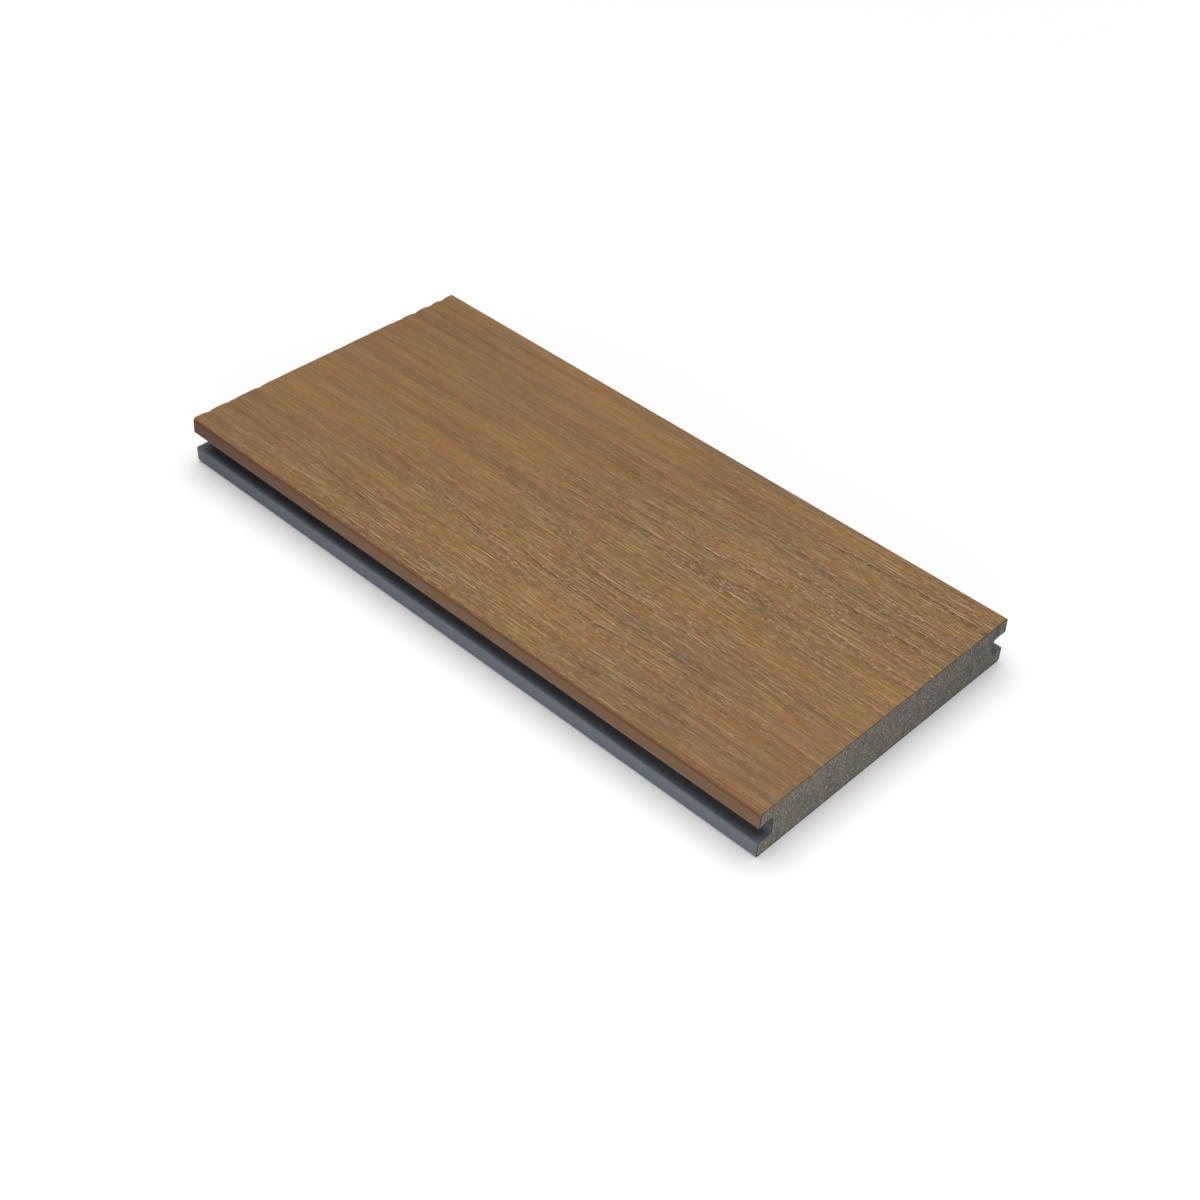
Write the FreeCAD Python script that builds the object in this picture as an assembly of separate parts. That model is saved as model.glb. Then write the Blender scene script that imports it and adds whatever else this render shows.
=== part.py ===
import FreeCAD, Part
import math
import os

# A short length of capped composite decking board. X runs along the board, Y across it and Z up.
# The origin is the middle of the underside, and every size is in millimetres.

# The board as it is sold
board_length = 300.0
board_width = 140.0
board_thickness = 21.0

# The two co-extruded caps that wrap the core
cap_thickness = 0.5

# The clip groove along each long side, between an upper and a lower lip
lower_lip_thickness = 6.7
groove_height = 7.3
groove_depth = 7.1

# The lower lip stands back a little, and the upper lip's side leans in towards the walking face
lower_lip_setback = 0.3
upper_lip_lean = 0.4

# Rounds that the extrusion die gives to the section
top_arris_radius = 1.3
upper_lip_tip_radius = 0.4
groove_roof_radius = 0.9
groove_floor_radius = 1.2
lower_lip_radius = 0.6
bottom_edge_radius = 1.0


def section_corners():
    """Corners (y, z, radius) of the board's outside, anticlockwise as seen from the +X end."""
    groove_roof_height = lower_lip_thickness + groove_height
    lean_angle = math.atan2(upper_lip_lean, board_thickness - groove_roof_height)
    # The tip is rounded, so its sharp corner lies this much outside the board's width.
    tip_allowance = upper_lip_tip_radius * ((1 + math.sin(lean_angle)) / math.cos(lean_angle) - 1)
    tip = board_width / 2 + tip_allowance
    lower_lip = board_width / 2 - lower_lip_setback
    groove_wall = board_width / 2 - groove_depth
    right_side = [
        (lower_lip, 0.0, bottom_edge_radius),
        (lower_lip, lower_lip_thickness, lower_lip_radius),
        (groove_wall, lower_lip_thickness, groove_floor_radius),
        (groove_wall, groove_roof_height, groove_roof_radius),
        (tip, groove_roof_height, upper_lip_tip_radius),
        (tip - upper_lip_lean, board_thickness, top_arris_radius),
    ]
    left_side = [(-y, z, radius) for y, z, radius in reversed(right_side)]
    return right_side + left_side


def inset_corners(corners, distance):
    """The same outline moved inwards by a distance, with each round kept concentric."""
    inset = []
    for i, (y, z, radius) in enumerate(corners):
        y_before, z_before, _ = corners[i - 1]
        y_after, z_after, _ = corners[(i + 1) % len(corners)]
        edge_in = FreeCAD.Vector(0, y - y_before, z - z_before).normalize()
        edge_out = FreeCAD.Vector(0, y_after - y, z_after - z).normalize()
        # Turning an anticlockwise edge by a quarter turn to its left points into the section.
        inward_in = FreeCAD.Vector(0, -edge_in.z, edge_in.y)
        inward_out = FreeCAD.Vector(0, -edge_out.z, edge_out.y)
        shift = (inward_in + inward_out) * (distance / (1 + inward_in.dot(inward_out)))
        turns_left = edge_in.cross(edge_out).x > 0
        new_radius = max(radius - distance, 0.0) if turns_left else radius + distance
        inset.append((y + shift.y, z + shift.z, new_radius))
    return inset


def rounded_outline(corners):
    """Closed wire at x = 0 through the corners, as straight runs joined by tangent arcs."""
    points = [FreeCAD.Vector(0, y, z) for y, z, _ in corners]
    edges = []
    run_starts = []
    run_ends = []
    for i, (_, _, radius) in enumerate(corners):
        back = (points[i - 1] - points[i]).normalize()
        ahead = (points[(i + 1) % len(points)] - points[i]).normalize()
        half_angle = back.getAngle(ahead) / 2
        reach = radius / math.tan(half_angle)
        arc_start = points[i] + back * reach
        arc_end = points[i] + ahead * reach
        if radius > 0:
            bisector = (back + ahead).normalize()
            arc_middle = points[i] + bisector * (radius / math.sin(half_angle) - radius)
            edges.append(Part.Arc(arc_start, arc_middle, arc_end).toShape())
        run_ends.append(arc_start)
        run_starts.append(arc_end)
    for i, start in enumerate(run_starts):
        edges.append(Part.LineSegment(start, run_ends[(i + 1) % len(run_ends)]).toShape())
    return Part.Wire(Part.__sortEdges__(edges))


def extruded(corners):
    """A straight length of the section, centred on the origin along X and sawn square at both ends."""
    section = Part.Face(rounded_outline(corners))
    section.translate(FreeCAD.Vector(-board_length / 2, 0, 0))
    return section.extrude(FreeCAD.Vector(board_length, 0, 0))


def above_cap_joint():
    """The space above the joint of the two caps, which lies halfway up each groove's back wall."""
    joint_height = lower_lip_thickness + groove_height / 2
    corner = FreeCAD.Vector(-board_length, -board_width, joint_height)
    return Part.makeBox(2 * board_length, 2 * board_width, board_thickness, corner)


outside = section_corners()
board = extruded(outside)

# The dark composite core, seen on the sawn ends
core = extruded(inset_corners(outside, cap_thickness))

# The skin around the core, in its two colours
skin = board.cut(core)
wood_grain_cap = skin.common(above_cap_joint())
underside_cap = skin.cut(above_cap_joint())

os.makedirs("parts", exist_ok=True)
nodes = {"core": core, "wood_grain_cap": wood_grain_cap, "underside_cap": underside_cap}
for name, shape in nodes.items():
    shape.exportStep("parts/" + name + ".step")
    box = shape.BoundBox
    print(name, len(shape.Solids), "solid,", shape.isValid(), round(shape.Volume, 1), "mm3,",
          [round(v, 3) for v in (box.XMin, box.YMin, box.ZMin, box.XMax, box.YMax, box.ZMax)])
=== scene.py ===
import math

import bpy
import numpy as np
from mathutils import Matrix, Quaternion, Vector


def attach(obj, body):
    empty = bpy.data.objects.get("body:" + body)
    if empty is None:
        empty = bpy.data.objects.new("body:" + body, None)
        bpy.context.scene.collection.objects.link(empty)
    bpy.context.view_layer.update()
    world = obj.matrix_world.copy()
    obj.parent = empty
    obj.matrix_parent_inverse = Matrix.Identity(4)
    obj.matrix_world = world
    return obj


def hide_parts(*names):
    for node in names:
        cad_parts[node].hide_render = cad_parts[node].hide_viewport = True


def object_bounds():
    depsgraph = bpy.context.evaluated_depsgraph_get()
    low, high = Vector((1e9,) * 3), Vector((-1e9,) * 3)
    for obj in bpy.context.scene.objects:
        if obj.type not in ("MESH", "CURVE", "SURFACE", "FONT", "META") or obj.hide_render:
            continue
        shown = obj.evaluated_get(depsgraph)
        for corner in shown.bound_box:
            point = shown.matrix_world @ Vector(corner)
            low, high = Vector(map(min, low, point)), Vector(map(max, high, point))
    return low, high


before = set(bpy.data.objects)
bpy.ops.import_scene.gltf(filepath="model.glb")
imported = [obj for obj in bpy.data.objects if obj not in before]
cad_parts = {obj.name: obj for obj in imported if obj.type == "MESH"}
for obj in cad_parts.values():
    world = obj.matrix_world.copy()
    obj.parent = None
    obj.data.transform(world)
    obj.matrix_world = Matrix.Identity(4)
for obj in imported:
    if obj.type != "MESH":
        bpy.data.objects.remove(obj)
cad_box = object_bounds()
scene = bpy.context.scene
scene.view_settings.view_transform = "Standard"

# The camera stands at the front corner of the board and looks down on it at 40 degrees, a little
# tilted, with a slightly long lens. The photograph is a cut from the left-hand part of a wider one, so
# its middle lies 80 of its 1200 pixels to the left of where the camera points.
camera_eye = Vector((0.39238, -0.41276, 0.4686))
camera_aim = Vector((0.05231, -0.001, 0.0105))
camera_roll = math.radians(4.481)
picture_width = 1200
picture_shift = 80
camera_data = bpy.data.cameras.new("camera")
camera_data.lens = 56.606
camera_data.sensor_width = 36.0
camera_data.shift_x = -picture_shift / picture_width
camera = bpy.data.objects.new("camera", camera_data)
camera.location = camera_eye
camera.rotation_mode = "QUATERNION"
camera.rotation_quaternion = ((camera_aim - camera_eye).to_track_quat("-Z", "Y")
                              @ Quaternion((0, 0, 1), camera_roll))
scene.collection.objects.link(camera)
scene.camera = camera

# The brown cap is the polymer skin over the walking face and the two upper lips. It is extruded
# together with the core in a streaked brown, and a roller then embosses oak grain in its face while
# it is warm. It ends halfway down each groove's back wall, where the grey cap begins.
MM = 0.001
board_length, board_width, board_thickness = (
    round((high - low) / MM, 1) for low, high in zip(*cad_box))
half_length = board_length / 2
half_width = board_width / 2
cap_thickness = 0.5
lower_lip_thickness = 6.7
groove_height = 7.3
groove_depth = 7.1
groove_roof = lower_lip_thickness + groove_height
groove_wall = half_width - groove_depth
joint_height = lower_lip_thickness + groove_height / 2
roof_radius = 0.9
top_arris_radius = 1.3
tip_radius = 0.4
least_radius = 0.05
# The side of the upper lip leans inwards. The rounded tip below it is the widest place of the board,
# so the corner that the round cuts off stands a little further out.
upper_lip_lean = 0.4
lean_angle = math.atan2(upper_lip_lean, board_thickness - groove_roof)
tip = half_width + tip_radius * ((1 + math.sin(lean_angle)) / math.cos(lean_angle) - 1)


def mirrored(side):
    """A half section from the -Y joint to the middle of the board, and then the same on the +Y side."""
    return side + [(-y, z, radius) for y, z, radius in reversed(side)]


def inset(corners, distance):
    """Corners (y, z, radius) of a section line, moved to its right, which is into the board. Rounds
    that turn to the right get smaller, down to the least radius, and the others get larger."""
    moved = []
    for i, (y, z, radius) in enumerate(corners):
        here = np.array((y, z))
        ahead = np.array(corners[i + 1][:2]) - here if i < len(corners) - 1 else None
        back = here - np.array(corners[i - 1][:2]) if i > 0 else None
        ahead = back if ahead is None else ahead
        back = ahead if back is None else back
        ahead = ahead / np.linalg.norm(ahead)
        back = back / np.linalg.norm(back)
        right_back = np.array((back[1], -back[0]))
        right_ahead = np.array((ahead[1], -ahead[0]))
        shift = (right_back + right_ahead) * distance / (1 + right_back @ right_ahead)
        turns_right = back[0] * ahead[1] - back[1] * ahead[0] < 0
        if radius:
            radius = max(radius - distance, least_radius) if turns_right else radius + distance
        moved.append((y + shift[0], z + shift[1], radius))
    return moved


def section_line(corners, run_parts, arc_parts):
    """Points (y, z) along the corners' line, its runs and rounds each divided in equal parts."""
    points = [np.array(corners[0][:2], float)]
    for i in range(1, len(corners)):
        end = np.array(corners[i][:2], float)
        back = np.array(corners[i - 1][:2]) - end
        back /= np.linalg.norm(back)
        if i == len(corners) - 1:
            arc = []
        else:
            ahead = np.array(corners[i + 1][:2]) - end
            ahead /= np.linalg.norm(ahead)
            half_angle = math.acos(back @ ahead) / 2
            radius = corners[i][2]
            centre = end + (back + ahead) / np.linalg.norm(back + ahead) * radius / math.sin(half_angle)
            reach = radius / math.tan(half_angle)
            start_arm = end + back * reach - centre
            end_arm = end + ahead * reach - centre
            swing = math.pi - 2 * half_angle
            arc = [centre + (math.sin((1 - t) * swing) * start_arm + math.sin(t * swing) * end_arm)
                   / math.sin(swing) for t in np.linspace(0, 1, arc_parts[i - 1] + 1)]
            end = arc[0]
        start = points[-1]
        parts = run_parts[i - 1]
        points += [start + (end - start) * t for t in np.linspace(0, 1, parts + 1)[1:]]
        points += arc[1:]
    return np.array(points)


brown_side = [
    (-groove_wall, joint_height, 0),
    (-groove_wall, groove_roof, roof_radius),
    (-tip, groove_roof, tip_radius),
    (upper_lip_lean - tip, board_thickness, top_arris_radius),
]
brown_corners = mirrored(brown_side)
# The number of equal parts of each straight run and each round. The face has a column every 0.3 mm.
face_columns = 456
column_step = 0.3
brown_runs = [2, 4, 6, face_columns, 6, 4, 2]
brown_arcs = [4, 4, 8, 8, 4, 4]
brown_line = section_line(brown_corners, brown_runs, brown_arcs)
brown_inner_line = section_line(inset(brown_corners, cap_thickness),
                                [n // 2 for n in brown_runs], [n // 2 for n in brown_arcs])

# The lines that the roller presses: how deep the hollow is, how dark the furrow in it, the open-pored
# band beside it (from, to, how rough) and its course of points (x, y), in mm on the board.
grain_lines = [
    (0.10, 0.8, (-4.5, 0, 0.8), [(-47, -0.7), (-41, 0.3), (-31, 2.8), (-21, 5.3), (-13, 6.7), (-1, 7.4),
     (9, 8.8), (19, 9.8), (29, 10.2), (49, 10.6), (61, 9.7), (80, 14), (104, 15.2), (126, 15.9),
     (160, 15.6)]),
    (0.08, 0.7, (0, 5, 0.7), [(-47, -0.7), (-44, -2.7), (-36, -5.6), (-26, -7.1), (-21, -9), (-13, -11.5),
     (-1, -14.9), (9, -17.3), (19, -19.7), (29, -21.9), (49, -21.9), (79, -22.3), (100, -22.7),
     (120, -24.3), (135, -27.7), (160, -28.7)]),
    (0.08, 0.6, (-1.2, 1.2, 1.0), [(-20, -0.1), (-18, 0.9), (-11, 2.4), (-1, 3.7), (9, 4.7), (19, 5.8),
     (29, 6.4), (39, 6.1), (49, 5.5), (89, 4.4), (105, 3), (125, 2.7), (142, 5.1)]),
    (0.25, 0.5, (-1, 3, 0.7), [(59, 7.7), (66, 8.4), (80, 11.2), (104, 11.9), (160, 12.9)]),
    (0.07, 0.6, (-1.5, 1, 0.6), [(-20, -1.6), (-18, -4.6), (-11, -7), (-1, -9.4), (9, -12.2), (19, -14.8),
     (27, -15.7), (49, -17.3), (84, -16.3), (110, -16.4), (120, -17.3), (130, -18.8), (160, -21.7)]),
    (0.10, 0.8, (0, 4, 0.9), [(-160, 4.7), (-140, 7.2), (-130, 9.7), (-115, 12.8), (-100, 13.8), (-85, 15.4),
     (-51, 15.1), (-11, 15.6), (-1, 16.3), (19, 17.2), (50, 18.3), (80, 22.8), (104, 23.7), (131, 23.1),
     (160, 23.1)]),
    (0.06, 0.4, (-1, 2, 0.3), [(-125, 19.6), (-100, 21.2), (-71, 20.7), (-51, 19.8)]),
    (0.12, 0.7, (-2, 2, 0.7), [(-21, 21.7), (-6, 22.6), (19, 23.9), (39, 25), (49, 26.5), (80, 33.4),
     (104, 31.2), (160, 31.1)]),
    (0.09, 0.8, (0, 3, 0.6), [(-91, 29.7), (-61, 30.4), (-41, 31.3), (-26, 32.4), (-11, 33.1), (-1, 34.2),
     (14, 34.8), (29, 34.4), (54, 34.3)]),
    (0.06, 0.7, (-2, 0, 0.5), [(-21, 30.6), (-1, 32.2), (39, 33.2), (54, 33)]),
    (0.18, 0.7, (0, 3, 0.7), [(-110, 36), (-91, 37.6), (-71, 38.7), (-51, 39.8), (-31, 41), (-1, 41.6),
     (19, 42.7), (49, 43.4), (75, 42.7), (86, 40.6), (106, 38.5), (160, 39.4)]),
    (0.16, 0.5, (-1, 2, 0.4), [(-160, 38.3), (-125, 40.4), (-115, 42.4), (-101, 44), (-91, 45),
     (-61, 45.2)]),
    (0.10, 0.7, (-1, 1, 0.6), [(114, 41.3), (160, 41.5)]),
    (0.30, 0.7, (-2, 2, 0.7), [(100, 44.7), (125, 45.2), (160, 46.5)]),
    (0.28, 0.7, (-1, 3, 0.6), [(-160, 46.5), (-135, 47.7), (-101, 49.4), (-61, 49.7), (-46, 51.3),
     (-11, 52)]),
    (0.22, 0.8, (-3, 1, 0.7), [(9, 54.6), (19, 54), (49, 54.4), (76, 55.4), (98, 56.7), (160, 57.5)]),
    (0.34, 0.5, (-1, 2, 0.4), [(-160, 56), (-120, 55.7), (-91, 55)]),
    (0.08, 0.6, (-2, 1, 0.6), [(-11, 58.9), (9, 60.1), (29, 61.2), (49, 60.3)]),
    (0.34, 0.5, (-1, 2, 0.4), [(-160, 62.3), (-111, 62.2), (-81, 63.4), (-51, 64.1)]),
    (0.10, 0.4, (-1, 1, 0.3), [(-160, 35.3), (-135, 35.9), (-115, 35.5)]),
    (0.05, 0.3, (-2, 2, 0.3), [(-120, -11.9), (-100, -13.8), (-80, -14.7)]),
    (0.12, 0.8, (-4, 0, 0.7), [(-90, -23.6), (-80, -25.6), (-70, -27.5), (-60, -28.3), (-50, -29.4),
     (-40, -31.3), (-31, -32.8), (-21, -34.7), (-1, -37.9), (19, -40), (39, -41.9), (46, -41.9),
     (59, -40.9), (69, -39.9), (79, -38.6), (115, -38.6), (130, -39.2), (160, -38.6)]),
    (0.06, 0.5, (-2, 1, 0.6), [(-60, -20.6), (-46, -23), (-31, -25.9), (-21, -27.1), (-1, -28.4)]),
    (0.08, 0.9, (0, 2, 0.5), [(-11, -29.3), (-1, -31.2), (9, -32.9), (19, -33.9), (49, -34.3), (90, -34.3),
     (105, -35.3)]),
    (0.22, 0.6, (-3, 0, 0.4), [(-160, -36.5), (-137, -35.9), (-120, -38), (-100, -40.4), (-85, -42.4),
     (-72, -42.8)]),
    (0.12, 0.9, (-1, 1, 0.4), [(-160, -49.1), (-130, -48.9), (-120, -49.6), (-110, -50.3), (-100, -51.3),
     (-90, -51.9), (-80, -53), (-72, -53.5), (-60, -54.6), (-48, -56)]),
    (0.20, 0.6, (-2, 1, 0.5), [(-160, -52.6), (-130, -52.6), (-120, -53.3), (-100, -55.2), (-85, -56.6),
     (-73, -57.1)]),
    (0.28, 0.4, (-2, 2, 0.3), [(-160, -61.7), (-120, -62.2), (-80, -63)]),
    (0.14, 0.7, (0, 3, 0.7), [(44, -45.9), (59, -44.8), (71, -45.5), (93, -45.4), (95, -44.2), (110, -42.7),
     (130, -42.6), (160, -44.6)]),
    (0.16, 0.7, (-2, 1, 0.7), [(49, -54.3), (64, -53.2), (79, -51.7), (90, -50.9), (110, -50.6),
     (160, -52.5)]),
    (0.15, 0.7, (-1, 3, 0.6), [(49, -61.2), (64, -60.5), (74, -59.5), (84, -57.2), (100, -56.6),
     (160, -57.5)]),
    (0.22, 0.4, (-1, 1, 0.4), [(79, -63.1), (120, -62.5), (160, -62)]),
    (0.24, 0.3, (-1, 1, 0.2), [(90, -66.5), (120, -66.8), (160, -66.9)]),
]
# Greyer brown streaks: how strong, how wide and their course, in mm.
grey_streaks = [
    (0.9, 1.8, [(-26, 46.9), (-11, 48), (9, 48.1), (19, 49.2), (34, 50.8), (49, 51.2), (69, 49.3),
     (75, 47.7)]),
    (0.7, 1.6, [(54, -25.5), (89, -26.4), (120, -27.8)]),
    (0.8, 1.8, [(44, -32.5), (100, -32.8), (160, -34.6)]),
    (0.7, 1.5, [(49, -59.7), (74, -58.2), (100, -55.1), (160, -55.5)]),
    (0.6, 1.6, [(84, -62.1), (120, -62.5), (160, -63.4)]),
    (0.5, 2.2, [(-110, 31.6), (-61, 33.8), (-21, 37)]),
    (0.5, 2.0, [(39, 36.4), (89, 36.2), (160, 34.1)]),
]


def smooth_step(low, high, value):
    """0 up to low and 1 from high on, with an even S between them."""
    t = np.clip((value - low) / (high - low), 0, 1)
    return t * t * (3 - 2 * t)


def course_at(course, x, fade):
    """Where across the board a course runs at each x, and how present it is there. It is smoothed over
    a few stations, and fades in and out at its ends over the given length."""
    smoothed_stations = 9
    kernel = np.hanning(smoothed_stations)
    knots = np.array(course, float)
    y = np.interp(x, knots[:, 0], knots[:, 1])
    y = np.convolve(np.pad(y, smoothed_stations // 2, mode="edge"), kernel / kernel.sum(), mode="valid")
    present = smooth_step(knots[0, 0], knots[0, 0] + fade, x)
    present = present * smooth_step(-knots[-1, 0], fade - knots[-1, 0], -x)
    return y, present


def pressed_at(x, y):
    """How strong the embossing is: strongest in a band from the back right corner to the middle of the
    front edge, weaker towards the front right corner and weakest at the left end."""
    slant = 1.2
    places = (-220, -110, -60, 0, 60, 130, 180, 230)
    strengths = (0.15, 0.3, 0.45, 0.85, 1.2, 0.9, 0.55, 0.4)
    return np.interp(x - slant * y, places, strengths)


# The stations are the cross rows of the cap's grid, 2.1 mm apart. The first and the last are at the
# saw cuts, close to the next ones, for the small round that the saw leaves.
station_count = 143
saw_round = 0.04
stations = np.concatenate((
    [-half_length],
    np.linspace(-half_length + saw_round, half_length - saw_round, station_count - 2),
    [half_length]))
across = brown_line[:, 0]
grid_x, grid_y = np.meshgrid(stations, across, indexing="ij")
random = np.random.default_rng(21)
hollow = np.zeros_like(grid_x)
furrow = np.zeros_like(grid_x)
lit_crest = np.zeros_like(grid_x)
rough = np.zeros_like(grid_x)
grey = np.zeros_like(grid_x)
# Over what length the lines and streaks fade in and out, the half width and the place of the furrow and of
# the pale crest of painted highlight beside it, and how far the edges of the open-pored bands fade, all in
# mm. About every 5 mm a line wobbles to the side and changes in clearness.
line_fade = 9.0
streak_fade = 16.0
furrow_width = 0.6
furrow_depth = 0.1
crest_width = 0.5
crest_aside = 0.7
band_fade_out = 0.8
band_fade_in = 0.4
wobble_places = np.linspace(-half_length, half_length, 60)
wobble_reach = 0.25
for depth, dark, (band_from, band_to, roughness), course in grain_lines:
    course_y, present = course_at(course, stations, line_fade)
    wobble = np.interp(stations, wobble_places, random.normal(0, wobble_reach, len(wobble_places)))
    clarity = np.interp(stations, wobble_places, random.uniform(0.6, 1.15, len(wobble_places)))
    offset = grid_y - (course_y + wobble)[:, None]
    # Where the embossing is weak, the furrow is faint and lies in a wider and deeper hollow.
    sharpness = np.clip(pressed_at(stations, course_y), 0, 1)
    clear = (dark * clarity * present * (0.4 + 0.6 * sharpness))[:, None]
    hollow_depth = (depth * present * (2.0 - 0.6 * sharpness))[:, None]
    hollow_width = (1.8 - 0.5 * sharpness)[:, None]
    hollow += hollow_depth * np.exp(-(offset / hollow_width) ** 2)
    furrow = np.maximum(furrow, clear * np.exp(-(offset / furrow_width) ** 2))
    lit_crest = np.maximum(lit_crest, clear * np.exp(-((offset - crest_aside) / crest_width) ** 2))
    inside = (smooth_step(band_from - band_fade_out, band_from + band_fade_in, offset)
              * smooth_step(-band_to - band_fade_out, -band_to + band_fade_in, -offset))
    rough = np.maximum(rough, roughness * present[:, None] * inside)
for strength, width, course in grey_streaks:
    course_y, present = course_at(course, stations, streak_fade)
    offset = grid_y - course_y[:, None]
    grey = np.maximum(grey, strength * present[:, None] * np.exp(-(offset / width) ** 2))

# Smaller marks between the lines: shallow grooves 15 to 50 mm long, and the pores of the oak, 4 to
# 14 mm long and 0.5 to 0.8 mm wide, most of them in the open-pored bands. Both may begin or end
# beyond a saw cut. Below the upper arm of the grain's arch, and most of all near its point, they run
# down a little to the right.
groove_count = 420
pore_tries = 5200
marks_half_length = half_length + 5
marks_half_width = half_width - 2
arch_lean = 0.07
arch_point = -20
arch_length = 45
arch_upper_arm = 8
pores = furrow_depth * furrow


def press(field, x, y, length, half_breadth, depth):
    """Adds one groove along the board to a field of depths, with soft sides and tapered ends."""
    rows = slice(*np.searchsorted(stations, (x - length / 2, x + length / 2)))
    reach = 3 * half_breadth
    first = max(len(across) // 2 + int((y - reach) / column_step), 0)
    columns = slice(first, first + int(2 * reach / column_step) + 2)
    from_middle = grid_x[rows, columns] - x
    lean = arch_lean * math.exp(-((x - arch_point) / arch_length) ** 2) * (y < arch_upper_arm)
    course_y = y - lean * from_middle
    along = 1 - (2 * from_middle / length) ** 2
    field[rows, columns] += depth * along * np.exp(
        -((grid_y[rows, columns] - course_y) / half_breadth) ** 2)


def openness_at(x, y):
    """How rough the open-pored bands are near a place on the face."""
    row = int((x + marks_half_length) / (2 * marks_half_length) * station_count)
    return rough[min(row, station_count - 1), len(across) // 2 + int(y / column_step)]


def random_place():
    """A random place (x, y) for a mark."""
    return (random.uniform(-marks_half_length, marks_half_length),
            random.uniform(-marks_half_width, marks_half_width))


for _ in range(groove_count):
    x, y = random_place()
    press(hollow, x, y, random.uniform(15, 50), random.uniform(0.5, 1.0), random.uniform(0.02, 0.07))
for _ in range(pore_tries):
    x, y = random_place()
    share = 0.15 + 0.85 * openness_at(x, y)
    if random.random() < share:
        press(pores, x, y, random.uniform(4, 14), random.uniform(0.25, 0.4),
              random.uniform(0.02, 0.06) * (0.4 + 0.6 * share) * pressed_at(x, y))

# The marks fade out over the rounded edge of the face, down to 1.2 mm below it, and none stands above
# the face's plane.
edge_fade_start = 0.1
edge_fade_end = 1.2
deepest_hollow = 0.55
deepest_pore = 0.15
on_face = smooth_step(board_thickness - edge_fade_end, board_thickness - edge_fade_start, brown_line[:, 1])
hollow = np.clip(hollow, 0, deepest_hollow) * on_face
pores = np.clip(pores, 0, deepest_pore) * on_face
furrow = np.clip(furrow, 0, 1) * on_face
lit_crest = np.clip(lit_crest, 0, 1) * on_face
rough = rough * on_face
grey = grey * on_face
pressed = pressed_at(grid_x, grid_y) * on_face


def outward(line):
    """Unit vectors to the left of a section line, which is out of the board."""
    run = np.gradient(line, axis=0)
    run /= np.linalg.norm(run, axis=1)[:, None]
    return np.stack((-run[:, 1], run[:, 0]), axis=1)


def sweep(line, x, depth=0.0):
    """A grid of points [station, along the line, xyz], each pressed in by its depth."""
    points = np.empty((len(x), len(line), 3))
    points[:, :, 0] = x[:, None]
    points[:, :, 1:] = line[None] - outward(line)[None] * np.broadcast_to(
        np.asarray(depth)[..., None], (len(x), len(line), 1))
    return points


def shell_faces(stations_out, line_out, stations_in, line_in):
    """Faces of a closed skin: a fine outer grid, an inner grid of half its steps, and their rims. The
    faces of its two sawn ends come last, and the second value is how many come before them."""
    outer = np.arange(stations_out * line_out).reshape(stations_out, line_out)
    inner = stations_out * line_out + np.arange(stations_in * line_in).reshape(stations_in, line_in)

    def quads(grid):
        return np.stack((grid[:-1, :-1], grid[1:, :-1], grid[1:, 1:], grid[:-1, 1:]), -1).reshape(-1, 4)

    def rim(fine, coarse):
        return np.stack((coarse[:-1], coarse[1:], fine[2::2], fine[1::2], fine[:-2:2]), -1)

    faces = quads(outer).tolist() + quads(inner)[:, ::-1].tolist()
    faces += rim(outer[:, 0], inner[:, 0]).tolist() + rim(outer[:, -1], inner[:, -1])[:, ::-1].tolist()
    skin_count = len(faces)
    faces += rim(outer[-1], inner[-1]).tolist() + rim(outer[0], inner[0])[:, ::-1].tolist()
    return faces, skin_count


crease_angle = math.radians(40)


def add_mesh(name, points, faces, materials, attributes):
    """A mesh piece with smooth rounds and crisp sawn edges, from points in millimetres, and with
    attributes that hold one number for each point."""
    mesh = bpy.data.meshes.new(name)
    mesh.from_pydata(points.reshape(-1, 3) * MM, [], faces)
    mesh.shade_smooth()
    mesh.set_sharp_from_angle(angle=crease_angle)
    for material in materials:
        mesh.materials.append(material)
    for attribute, values in attributes.items():
        layer = mesh.attributes.new(attribute, "FLOAT", "POINT")
        layer.data.foreach_set("value", values.astype(np.float32))
    piece = bpy.data.objects.new(name, mesh)
    scene.collection.objects.link(piece)
    return piece


def add_cap(name, outer, inner, materials, marks):
    """A cap: the closed skin between two swept grids, with its sawn ends in the second material. The
    marks hold a number for each point of the outer grid. Inwards is 0 on that grid and 1 on the inner."""
    stations_out, line_out = outer.shape[:2]
    stations_in, line_in = inner.shape[:2]
    inner_count = stations_in * line_in
    faces, skin_count = shell_faces(stations_out, line_out, stations_in, line_in)
    attributes = {mark: np.append(values, np.zeros(inner_count)) for mark, values in marks.items()}
    attributes["inwards"] = np.repeat((0.0, 1.0), (stations_out * line_out, inner_count))
    points = np.concatenate((outer.reshape(-1, 3), inner.reshape(-1, 3)))
    cap = add_mesh(name, points, faces, materials, attributes)
    sawn = np.zeros(len(faces), np.int32)
    sawn[skin_count:] = 1
    cap.data.polygons.foreach_set("material_index", sawn)
    return cap


def linear(colour):
    """A hex colour, as seen on a screen, turned to the linear values that Blender mixes."""
    values = [int(colour[i:i + 2], 16) / 255 for i in (1, 3, 5)]
    return [v / 12.92 if v <= 0.04045 else ((v + 0.055) / 1.055) ** 2.4 for v in values] + [1.0]


def add_node(tree, kind, inputs=None, **settings):
    """One node with its settings, and its inputs by name or number: values, or outputs to link."""
    node = tree.nodes.new(kind)
    for name, value in settings.items():
        setattr(node, name, value)
    for socket, value in (inputs or {}).items():
        if isinstance(value, bpy.types.NodeSocket):
            tree.links.new(value, node.inputs[socket])
        else:
            node.inputs[socket].default_value = value
    return node


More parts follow.
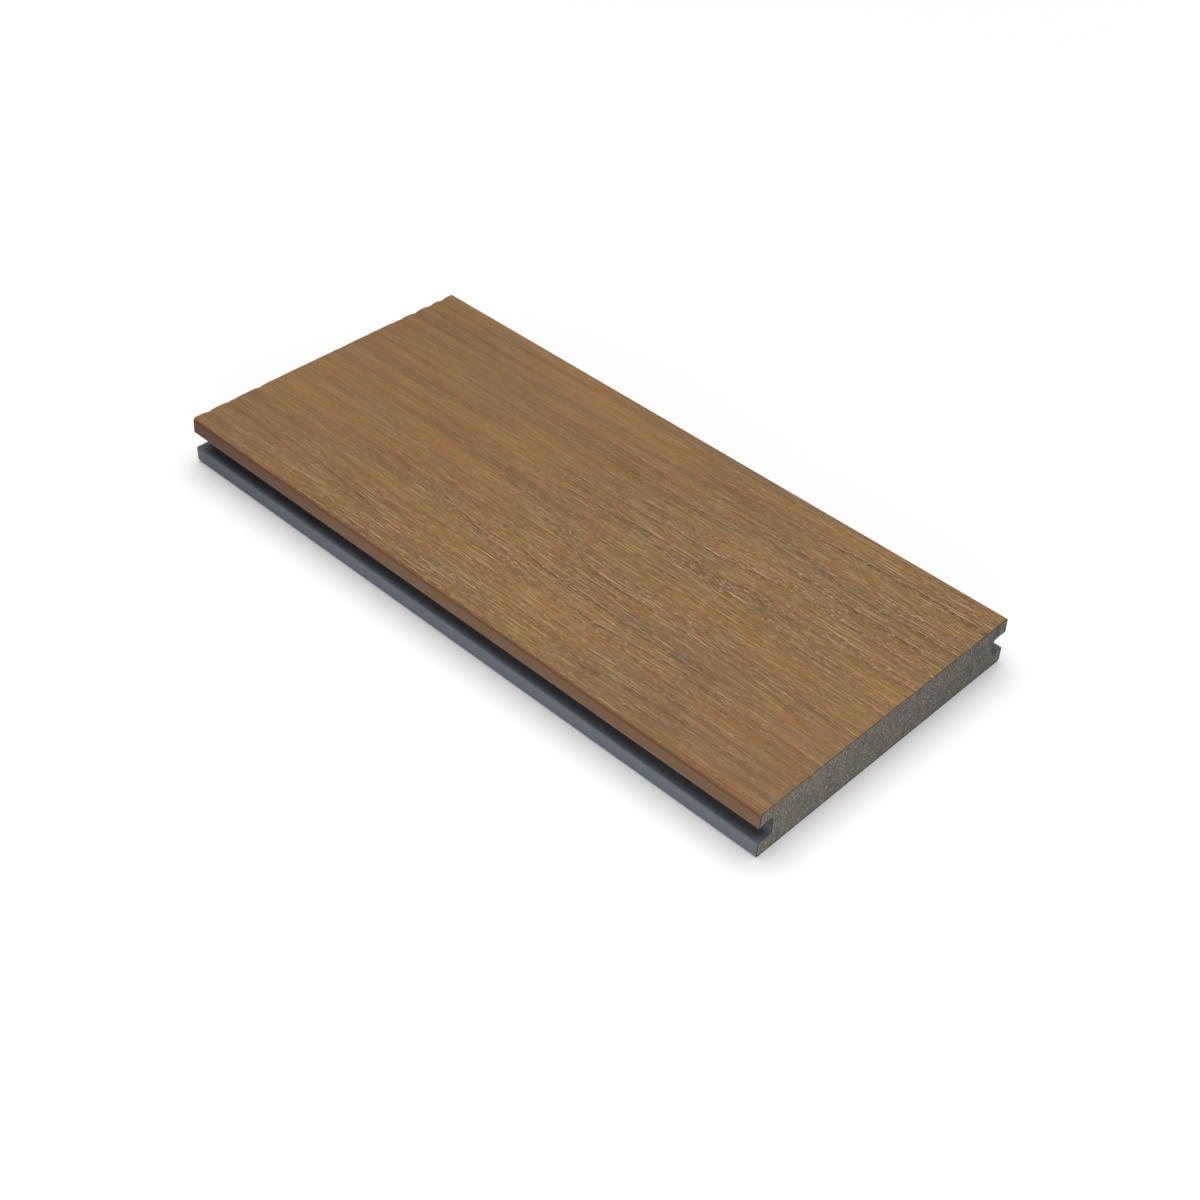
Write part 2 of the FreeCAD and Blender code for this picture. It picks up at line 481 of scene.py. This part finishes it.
def painted(tree, colour, layers):
    """Colours laid over one another. Each layer is (pattern, from, to, share, colour): it is absent
    where its pattern is at from, and has its full share where the pattern is at to or past it."""
    for pattern, start, full, share, paint in layers:
        cover = add_node(tree, "ShaderNodeMapRange", {
            "Value": pattern, "From Min": start, "From Max": full, "To Max": share}).outputs[0]
        # The colour sockets of this node are 6, 7 and 2, because other kinds of value come first.
        colour = add_node(tree, "ShaderNodeMix", {0: cover, 6: colour, 7: linear(paint)},
                          data_type="RGBA").outputs[2]
    return colour


def new_material(name, roughness):
    """A new material, with its node tree, its shader and the place on the board as a node output."""
    material = bpy.data.materials.new(name)
    material.use_nodes = True
    tree = material.node_tree
    shader = tree.nodes["Principled BSDF"]
    shader.inputs["Roughness"].default_value = roughness
    return material, tree, shader, add_node(tree, "ShaderNodeTexCoord").outputs["Object"]


def set_plastic(tree, shader, bump):
    """The bump and the dull shine of polyethylene."""
    tree.links.new(bump.outputs[0], shader.inputs["Normal"])
    shader.inputs["IOR"].default_value = 1.5
    shader.inputs["Specular IOR Level"].default_value = 0.25


def sawn_cap_material(name, base, speckle_paint, edge_paint, edge_share):
    """The torn, matte edge of a cap at the saw cut: a dark line over the outer share of its thickness,
    which turns into the speckled base colour where the cap and the core fused in the die."""
    speckle_size = 0.6
    material, tree, shader, place = new_material(name, roughness=0.8)
    speckle = add_node(tree, "ShaderNodeTexNoise", {"Vector": place, "Scale": 1 / (speckle_size * MM)})
    inwards = add_node(tree, "ShaderNodeAttribute", attribute_name="inwards")
    colour = painted(tree, linear(base), (
        (speckle.outputs["Fac"], 0.3, 0.7, 1.0, speckle_paint),
        (inwards.outputs["Fac"], 1.0, edge_share, 1.0, edge_paint)))
    tree.links.new(colour, shader.inputs["Base Color"])
    return material


# Embossed capstock: a polyethylene blend whose brown pigments don't mix fully in the die, so they run in
# long golden, reddish and grey-olive streaks. It looks like oiled oak with a dull, dry surface. Pale glints
# on the torn edges of its pressed pores, the lit rims of its pores and a pale crest beside each furrow are
# painted highlights. Each pattern has its length along the board and its width in mm, and is also moved by
# its length, so that no two line up.
brown_embossed, tree, shader, place = new_material("embossed_brown_capstock", roughness=0.55)
pattern = {}
for name, length, width, detail in (
        ("bands", 110, 7.0, 2),
        ("tints", 70, 3.2, 1),
        ("tones", 45, 1.5, 1),
        ("streaks", 35, 0.9, 1),
        ("grain", 25, 0.6, 0)):
    scaled = add_node(tree, "ShaderNodeMapping", {
        "Vector": place, "Location": (length, length, length),
        "Scale": (1 / (length * MM), 1 / (width * MM), 1 / (width * MM))})
    pattern[name] = add_node(tree, "ShaderNodeTexNoise", {
        "Vector": scaled.outputs[0], "Scale": 1.0, "Detail": detail, "Roughness": 0.55}).outputs["Fac"]
marks = {name: add_node(tree, "ShaderNodeAttribute", attribute_name=name).outputs["Fac"]
         for name in ("furrow", "lit_crest", "rough", "open", "grey", "pressed", "face", "arris_shade")}

# The strokes of the embossing: their length and width in mm, the share of the face that they cover, where
# they are, and how far to the side they are moved, so that a stroke can be a painted highlight on the lit
# rim of another.
# They waver from side to side by up to half a millimetre. Real pores and fibres are about 0.2 mm wide,
# and these are drawn a little wider, so that they show.
waver_length = 12
waver_width = 3
waver_range = 1.0
scaled = add_node(tree, "ShaderNodeMapping", {
    "Vector": place, "Scale": (1 / (waver_length * MM), 1 / (waver_width * MM), 1)})
waver = add_node(tree, "ShaderNodeTexNoise", {"Vector": scaled.outputs[0], "Scale": 1.0, "Detail": 1})
waver = add_node(tree, "ShaderNodeVectorMath", {
    0: waver.outputs["Color"], 1: (0, waver_range * MM, 0), 2: place}, operation="MULTIPLY_ADD")
for name, length, width, cover, among, aside in (
        ("checks", 50, 0.28, 0.08, "pressed", 0),
        ("pores", 14, 0.24, 0.09, "pressed", 0),
        ("lit pore rims", 14, 0.24, 0.09, "pressed", 0.28),
        ("fibres", 12, 0.24, 0.09, "pressed", 0),
        ("nicks", 1.5, 0.3, 0.12, "pressed", 0),
        ("fuzz", 2.5, 0.22, 0.12, "pressed", 0),
        ("torn pores", 3.5, 0.26, 0.16, "open", 0),
        ("burr_glints", 1.8, 0.25, 0.18, "open", 0.27)):
    # A cell holds one stroke, of which each half is this share of the cell's length and width.
    half = math.sqrt(cover) / 2
    cell_length = length * MM / (2 * half)
    cell_width = width * MM / (2 * half)
    scaled = add_node(tree, "ShaderNodeMapping", {
        "Vector": waver.outputs[0], "Location": (length, length - aside * MM / cell_width, 0),
        "Scale": (1 / cell_length, 1 / cell_width, 1)})
    cells = add_node(tree, "ShaderNodeTexVoronoi", {"Vector": scaled.outputs[0], "Scale": 1.0},
                     voronoi_dimensions="2D", distance="CHEBYCHEV")
    strength = add_node(tree, "ShaderNodeMath", {0: cells.outputs["Color"], 1: marks[among]},
                        operation="MULTIPLY")
    pattern[name] = add_node(tree, "ShaderNodeMapRange", {
        "Value": cells.outputs["Distance"], "From Min": half, "From Max": 0.5 * half,
        "To Max": strength.outputs[0]}).outputs[0]
face_colour = painted(tree, linear("#75552F"), (
    (pattern["bands"], 0.3, 0.7, 1.0, "#89653B"),
    (pattern["tints"], 0.5, 0.75, 0.35, "#98632E"),
    (pattern["tints"], 0.47, 0.25, 0.5, "#67553D"),
    (pattern["tones"], 0.52, 0.72, 0.28, "#966E38"),
    (pattern["tones"], 0.48, 0.28, 0.28, "#675540"),
    (pattern["streaks"], 0.45, 0.3, 0.15, "#674A2C"),
    (pattern["streaks"], 0.56, 0.7, 0.15, "#A46A34"),
    (marks["grey"], 0, 1, 0.4, "#5F5440"),
    (marks["rough"], 0, 1, 0.15, "#6B5340"),
    (pattern["grain"], 0.48, 0.3, 0.06, "#4A2C0E"),
    (pattern["grain"], 0.52, 0.7, 0.06, "#AC926C"),
    (pattern["checks"], 0, 1, 0.8, "#3A2008"),
    (pattern["nicks"], 0, 1, 0.9, "#3A1D04"),
    (pattern["fuzz"], 0, 1, 0.7, "#CCAC7C"),
    (pattern["pores"], 0, 1, 0.95, "#3A1D04"),
    # Painted highlight: the lit rims beside the pores.
    (pattern["lit pore rims"], 0, 1, 0.7, "#D0B288"),
    (pattern["fibres"], 0, 1, 0.9, "#CCAC7C"),
    (pattern["torn pores"], 0, 1, 0.95, "#301602"),
    (marks["furrow"], 0.3, 0.8, 0.55, "#3A2008"),
    # Painted highlight: a pale crest beside each furrow.
    (marks["lit_crest"], 0.5, 1, 0.3, "#C8A672"),
    # Painted highlights: pale glints on the torn rims of the pores.
    (pattern["burr_glints"], 0.25, 1.1, 1.0, "#E4D2B4")))

# Below the face the cap is bare and smooth from the die, a redder and more even brown. Painted shade darkens
# it towards the left end, and a paler line of painted light from the white floor runs along the foot of the
# lip. Under the rounded edge runs a darker line of painted shade. At the near saw cut the face has a thin
# orange rim of painted highlight. Painted shade darkens the groove.
apart = add_node(tree, "ShaderNodeSeparateXYZ", {0: place}).outputs
near_end = half_length * MM
far_end = -half_length * MM
# From here to the left end, painted shade darkens the caps' sides.
shade_start = -60
side_colour = painted(tree, linear("#715137"), (
    (pattern["streaks"], 0.3, 0.7, 1.0, "#77573C"),
    # Painted shade: the side gets darker towards the left end.
    (apart["X"], shade_start * MM, far_end, 0.75, "#4E2C08")))
colour = add_node(tree, "ShaderNodeMix", {0: marks["face"], 6: side_colour, 7: face_colour},
                  data_type="RGBA").outputs[2]
colour = painted(tree, colour, (
    # Painted shade: a darker line under the rounded edge.
    (marks["arris_shade"], 0, 1, 1.0, "#602A00"),
    # Painted highlight: a thin orange rim along the face at the near saw cut.
    (apart["X"], near_end - 0.4 * MM, near_end - 0.1 * MM, 0.25, "#A06A38"),
    # Painted light from the white floor: a paler line along the foot of the lip.
    (apart["Z"], (groove_roof + 1.2) * MM, (groove_roof + 0.3) * MM, 0.35, "#8E6E56"),
    # Painted shade: the groove is darker.
    (apart["Z"], (groove_roof + 0.1) * MM, (groove_roof - 0.4) * MM, 0.6, "#3A3F3E")))
tree.links.new(colour, shader.inputs["Base Color"])
relief = add_node(tree, "ShaderNodeMath", {0: pattern["grain"], 1: 0.5}, operation="MULTIPLY").outputs[0]
for name, height in (("pores", -0.6), ("torn pores", -0.6), ("burr_glints", 0.6)):
    relief = add_node(tree, "ShaderNodeMath", {0: pattern[name], 1: height, 2: relief},
                      operation="MULTIPLY_ADD").outputs[0]
on_face_only = add_node(tree, "ShaderNodeMath", {0: relief, 1: marks["face"]}, operation="MULTIPLY")
set_plastic(tree, shader, add_node(tree, "ShaderNodeBump", {
    "Height": on_face_only.outputs[0], "Strength": 1.0, "Distance": 0.15 * MM}))

# Sawn capstock: the brown polyethylene where the saw cut through it, seen as a dark line round the
# end of the board.
brown_sawn = sawn_cap_material("sawn_brown_capstock", "#3C3430", "#4A423E", "#120C0E", edge_share=0.7)

# The darker line of painted shade under the rounded edge: its height, and how far it fades upwards and
# downwards. It fades further down at the left end, and is stronger there. The torn pores also lie along the
# furrows.
arris_height = 19.8
arris_spread = 0.45
spread_at_far_end = 1.2
spread_start = -90
above_arris = brown_line[None, :, 1] - arris_height
below_spread = np.interp(stations, (-half_length, spread_start), (spread_at_far_end, arris_spread))
spread = np.where(above_arris > 0, arris_spread, below_spread[:, None])
arris_shade_strength = np.interp(stations, (-half_length, shade_start), (1.0, 0.75))[:, None]
brown_marks = {
    "furrow": furrow, "lit_crest": lit_crest, "rough": rough, "grey": grey, "pressed": pressed,
    "open": pressed * np.clip(rough + 0.7 * furrow, 0, 1),
    "face": np.broadcast_to(on_face, grid_x.shape),
    "arris_shade": arris_shade_strength * np.exp(-(above_arris / spread) ** 2)}

# The outer grid is pressed in by the marks, and by the saw's round at its ends. The inner one, with
# half as many rows and columns, follows the hollows, so the cap keeps its thickness.
saw_rim = np.zeros(station_count)
saw_rim[[0, -1]] = saw_round
brown_outer = sweep(brown_line, stations, hollow + pores + saw_rim[:, None])
brown_inner = sweep(brown_inner_line, stations[::2], hollow[::2, ::2])
brown_cap = add_cap("brown_embossed_cap", brown_outer, brown_inner, (brown_embossed, brown_sawn),
                    brown_marks)
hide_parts("wood_grain_cap")
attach(brown_cap, "root")

# The grey cap is the same skin on the lower half of the board, in a plain blue-grey: it lines the
# lower half of each groove and wraps the lower lips and the underside. It comes smooth from the die.
lower_lip_setback = 0.3
floor_radius = 1.2
lower_lip_radius = 0.6
bottom_radius = 1.0
lower_lip = half_width - lower_lip_setback
grey_side = [
    (-groove_wall, joint_height, 0),
    (-groove_wall, lower_lip_thickness, floor_radius),
    (-lower_lip, lower_lip_thickness, lower_lip_radius),
    (-lower_lip, 0.0, bottom_radius),
]
grey_corners = [(-y, z, radius) for y, z, radius in mirrored(grey_side)]
grey_runs = [2, 4, 4, 8, 4, 4, 2]
grey_arcs = [6, 6, 6, 6, 6, 6]
grey_line = section_line(grey_corners, grey_runs, grey_arcs)
grey_inner_line = section_line(inset(grey_corners, cap_thickness),
                               [n // 2 for n in grey_runs], [n // 2 for n in grey_arcs])
grey_station_count = 13
grey_stations = np.linspace(-half_length, half_length, grey_station_count)

# Plain capstock: polyethylene with a blue-grey pigment, satin from the die, with faint drag lines along its
# length. Painted shade makes it darker in the groove and towards the left end.
drag_length = 150
drag_width = 0.8
grey_smooth, tree, shader, place = new_material("smooth_grey_capstock", roughness=0.5)
scaled = add_node(tree, "ShaderNodeMapping", {
    "Vector": place, "Scale": (1 / (drag_length * MM), 1 / (drag_width * MM), 1 / (drag_width * MM))})
drag = add_node(tree, "ShaderNodeTexNoise", {"Vector": scaled.outputs[0], "Scale": 1.0}).outputs["Fac"]
apart = add_node(tree, "ShaderNodeSeparateXYZ", {0: place}).outputs
across_board = add_node(tree, "ShaderNodeMath", {0: apart["Y"]}, operation="ABSOLUTE").outputs[0]
above_lip = add_node(tree, "ShaderNodeMapRange", {
    "Value": apart["Z"], "From Min": (lower_lip_thickness - 0.5) * MM,
    "From Max": (lower_lip_thickness - 0.1) * MM})
# Where painted shade darkens the groove, above the lower lip.
groove_shade = add_node(tree, "ShaderNodeMapRange", {
    "Value": across_board, "From Min": half_width * MM, "From Max": (half_width - 1.2) * MM,
    "To Max": above_lip.outputs[0]})
colour = painted(tree, linear("#636973"), (
    (drag, 0.3, 0.7, 1.0, "#6A707B"),
    # Painted shade inside the groove.
    (groove_shade.outputs[0], 0, 1, 0.2, "#2C3020"),
    # Painted shade: darker towards the left end.
    (apart["X"], shade_start * MM, far_end, 0.4, "#3A4044")))
tree.links.new(colour, shader.inputs["Base Color"])
set_plastic(tree, shader, add_node(tree, "ShaderNodeBump", {
    "Height": drag, "Strength": 0.5, "Distance": 0.02 * MM}))

# The same blue-grey polyethylene where the saw cut through it.
grey_sawn = sawn_cap_material("sawn_grey_capstock", "#56565A", "#66666A", "#26272B", edge_share=0.6)
grey_cap = add_cap("grey_underside_cap", sweep(grey_line, grey_stations),
                   sweep(grey_inner_line, grey_stations[::2]), (grey_smooth, grey_sawn), {})
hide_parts("underside_cap")
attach(grey_cap, "root")

# The core is the body of the board: wood flour and recycled polyethylene, extruded in one with its
# caps and cut to length with a saw. Only its two sawn ends are bare.
core_ring = np.concatenate((
    sweep(brown_inner_line, stations[::2], hollow[::2, ::2]),
    sweep(grey_inner_line, stations[::2])[:, 1:-1]), axis=1)
ring_stations, ring_count = core_ring.shape[:2]
ring = np.arange(ring_stations * ring_count).reshape(ring_stations, ring_count)
ring_next = np.roll(ring, -1, axis=1)
core_faces = np.stack((ring[:-1], ring[1:], ring_next[1:], ring_next[:-1]), -1).reshape(-1, 4).tolist()
core_faces += [ring[-1, ::-1].tolist(), ring[0].tolist()]

# Sawn wood-plastic composite: dark grey and matte, mottled at the size of the wood flour, with pale wood
# specks and faint upright saw marks. The specks are drawn about twice their real size. Painted light makes
# it lighter towards its lower front, and painted shade makes it darker towards the back.
core_sawn, tree, shader, place = new_material("sawn_wood_plastic_composite", roughness=0.85)
grit = {}
for name, size, detail, stretch in (
        ("tinge", 9.0, 2, (1, 1, 1)),
        ("mottle", 4.0, 3, (1, 1, 1)),
        ("flour", 0.5, 2, (1, 1, 1)),
        ("specks", 0.45, 0, (1, 1, 1)),
        ("saw_marks", 0.9, 2, (1, 1, 0.12))):
    scaled = add_node(tree, "ShaderNodeMapping", {
        "Vector": place, "Scale": [s / (size * MM) for s in stretch]})
    grit[name] = add_node(tree, "ShaderNodeTexNoise", {
        "Vector": scaled.outputs[0], "Scale": 1.0, "Detail": detail}).outputs["Fac"]
apart = add_node(tree, "ShaderNodeSeparateXYZ", {0: place}).outputs
colour = painted(tree, linear("#645E57"), (
    # Painted light at the front and near the foot, and painted shade towards the back.
    (apart["Y"], 0, -65 * MM, 0.2, "#8F8576"),
    (apart["Y"], 20 * MM, 55 * MM, 0.5, "#484542"),
    (apart["Z"], 6 * MM, 1 * MM, 0.25, "#8F8576"),
    (grit["tinge"], 0.45, 0.3, 0.5, "#5E6163"),
    (grit["tinge"], 0.55, 0.7, 0.5, "#776C59"),
    (grit["mottle"], 0.5, 0.3, 0.35, "#565250"),
    (grit["mottle"], 0.5, 0.7, 0.25, "#7D776C"),
    (grit["flour"], 0.5, 0.3, 0.4, "#403D3A"),
    (grit["specks"], 0.64, 0.68, 0.7, "#B8B0A2"),
    (grit["saw_marks"], 0.45, 0.3, 0.45, "#403D3B"),
    (grit["saw_marks"], 0.55, 0.75, 0.3, "#8A857B")))
tree.links.new(colour, shader.inputs["Base Color"])
relief = add_node(tree, "ShaderNodeMath", {0: grit["saw_marks"], 1: 0.7, 2: grit["flour"]},
                  operation="MULTIPLY_ADD")
set_plastic(tree, shader, add_node(tree, "ShaderNodeBump", {
    "Height": relief.outputs[0], "Strength": 0.6, "Distance": 0.08 * MM}))
core = add_mesh("sawn_core", core_ring, core_faces, (core_sawn,), {})
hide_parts("core")
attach(core, "root")

# A plain white floor. It fills the photograph's view, and its far edge shows only in low views.
floor_material, tree, shader, place = new_material("matte_white_floor", roughness=0.9)
mottle = add_node(tree, "ShaderNodeTexNoise", {"Vector": place, "Scale": 3.0}).outputs["Fac"]
colour = painted(tree, linear("#F2F2F2"), ((mottle, 0.3, 0.7, 1.0, "#F4F4F4"),))
tree.links.new(colour, shader.inputs["Base Color"])
floor_reach = 4.0
floor_height = -0.1 * MM
floor_corners = [(x * floor_reach, y * floor_reach, floor_height)
                 for x, y in ((-1, -1), (1, -1), (1, 1), (-1, 1))]
floor_mesh = bpy.data.meshes.new("studio_floor")
floor_mesh.from_pydata(floor_corners, [], [(0, 1, 2, 3)])
floor_mesh.materials.append(floor_material)
studio_floor = bpy.data.objects.new("studio_floor", floor_mesh)
scene.collection.objects.link(studio_floor)

# Soft studio light: a wide, even light overhead, a small panel low in front, and a dim room whose
# walls are white down by the floor. The size is an angle for the first light and metres for the panel.
room = bpy.data.worlds.new("white_room")
scene.world = room
room.use_nodes = True
tree = room.node_tree
direction = add_node(tree, "ShaderNodeTexCoord").outputs["Generated"]
upwards = add_node(tree, "ShaderNodeSeparateXYZ", {0: direction}).outputs["Z"]
wall = painted(tree, linear("#E6E6E6"), ((upwards, 0.04, 0.12, 1.0, "#818181"),))
tree.links.new(wall, tree.nodes["Background"].inputs["Color"])
for name, kind, position, size, power in (
        ("overhead_light", "SUN", (-0.2, 0.15, 1.5), 1.2, 2.85),
        ("front_panel", "AREA", (0.38, -0.40, 0.13), 0.25, 0.52)):
    light = bpy.data.lights.new(name, kind)
    light.energy = power
    if kind == "SUN":
        light.angle = size
    else:
        light.size = size
    lamp = bpy.data.objects.new(name, light)
    lamp.location = position
    lamp.visible_camera = False
    lamp.rotation_mode = "QUATERNION"
    lamp.rotation_quaternion = (-Vector(position)).to_track_quat("-Z", "Y")
    scene.collection.objects.link(lamp)
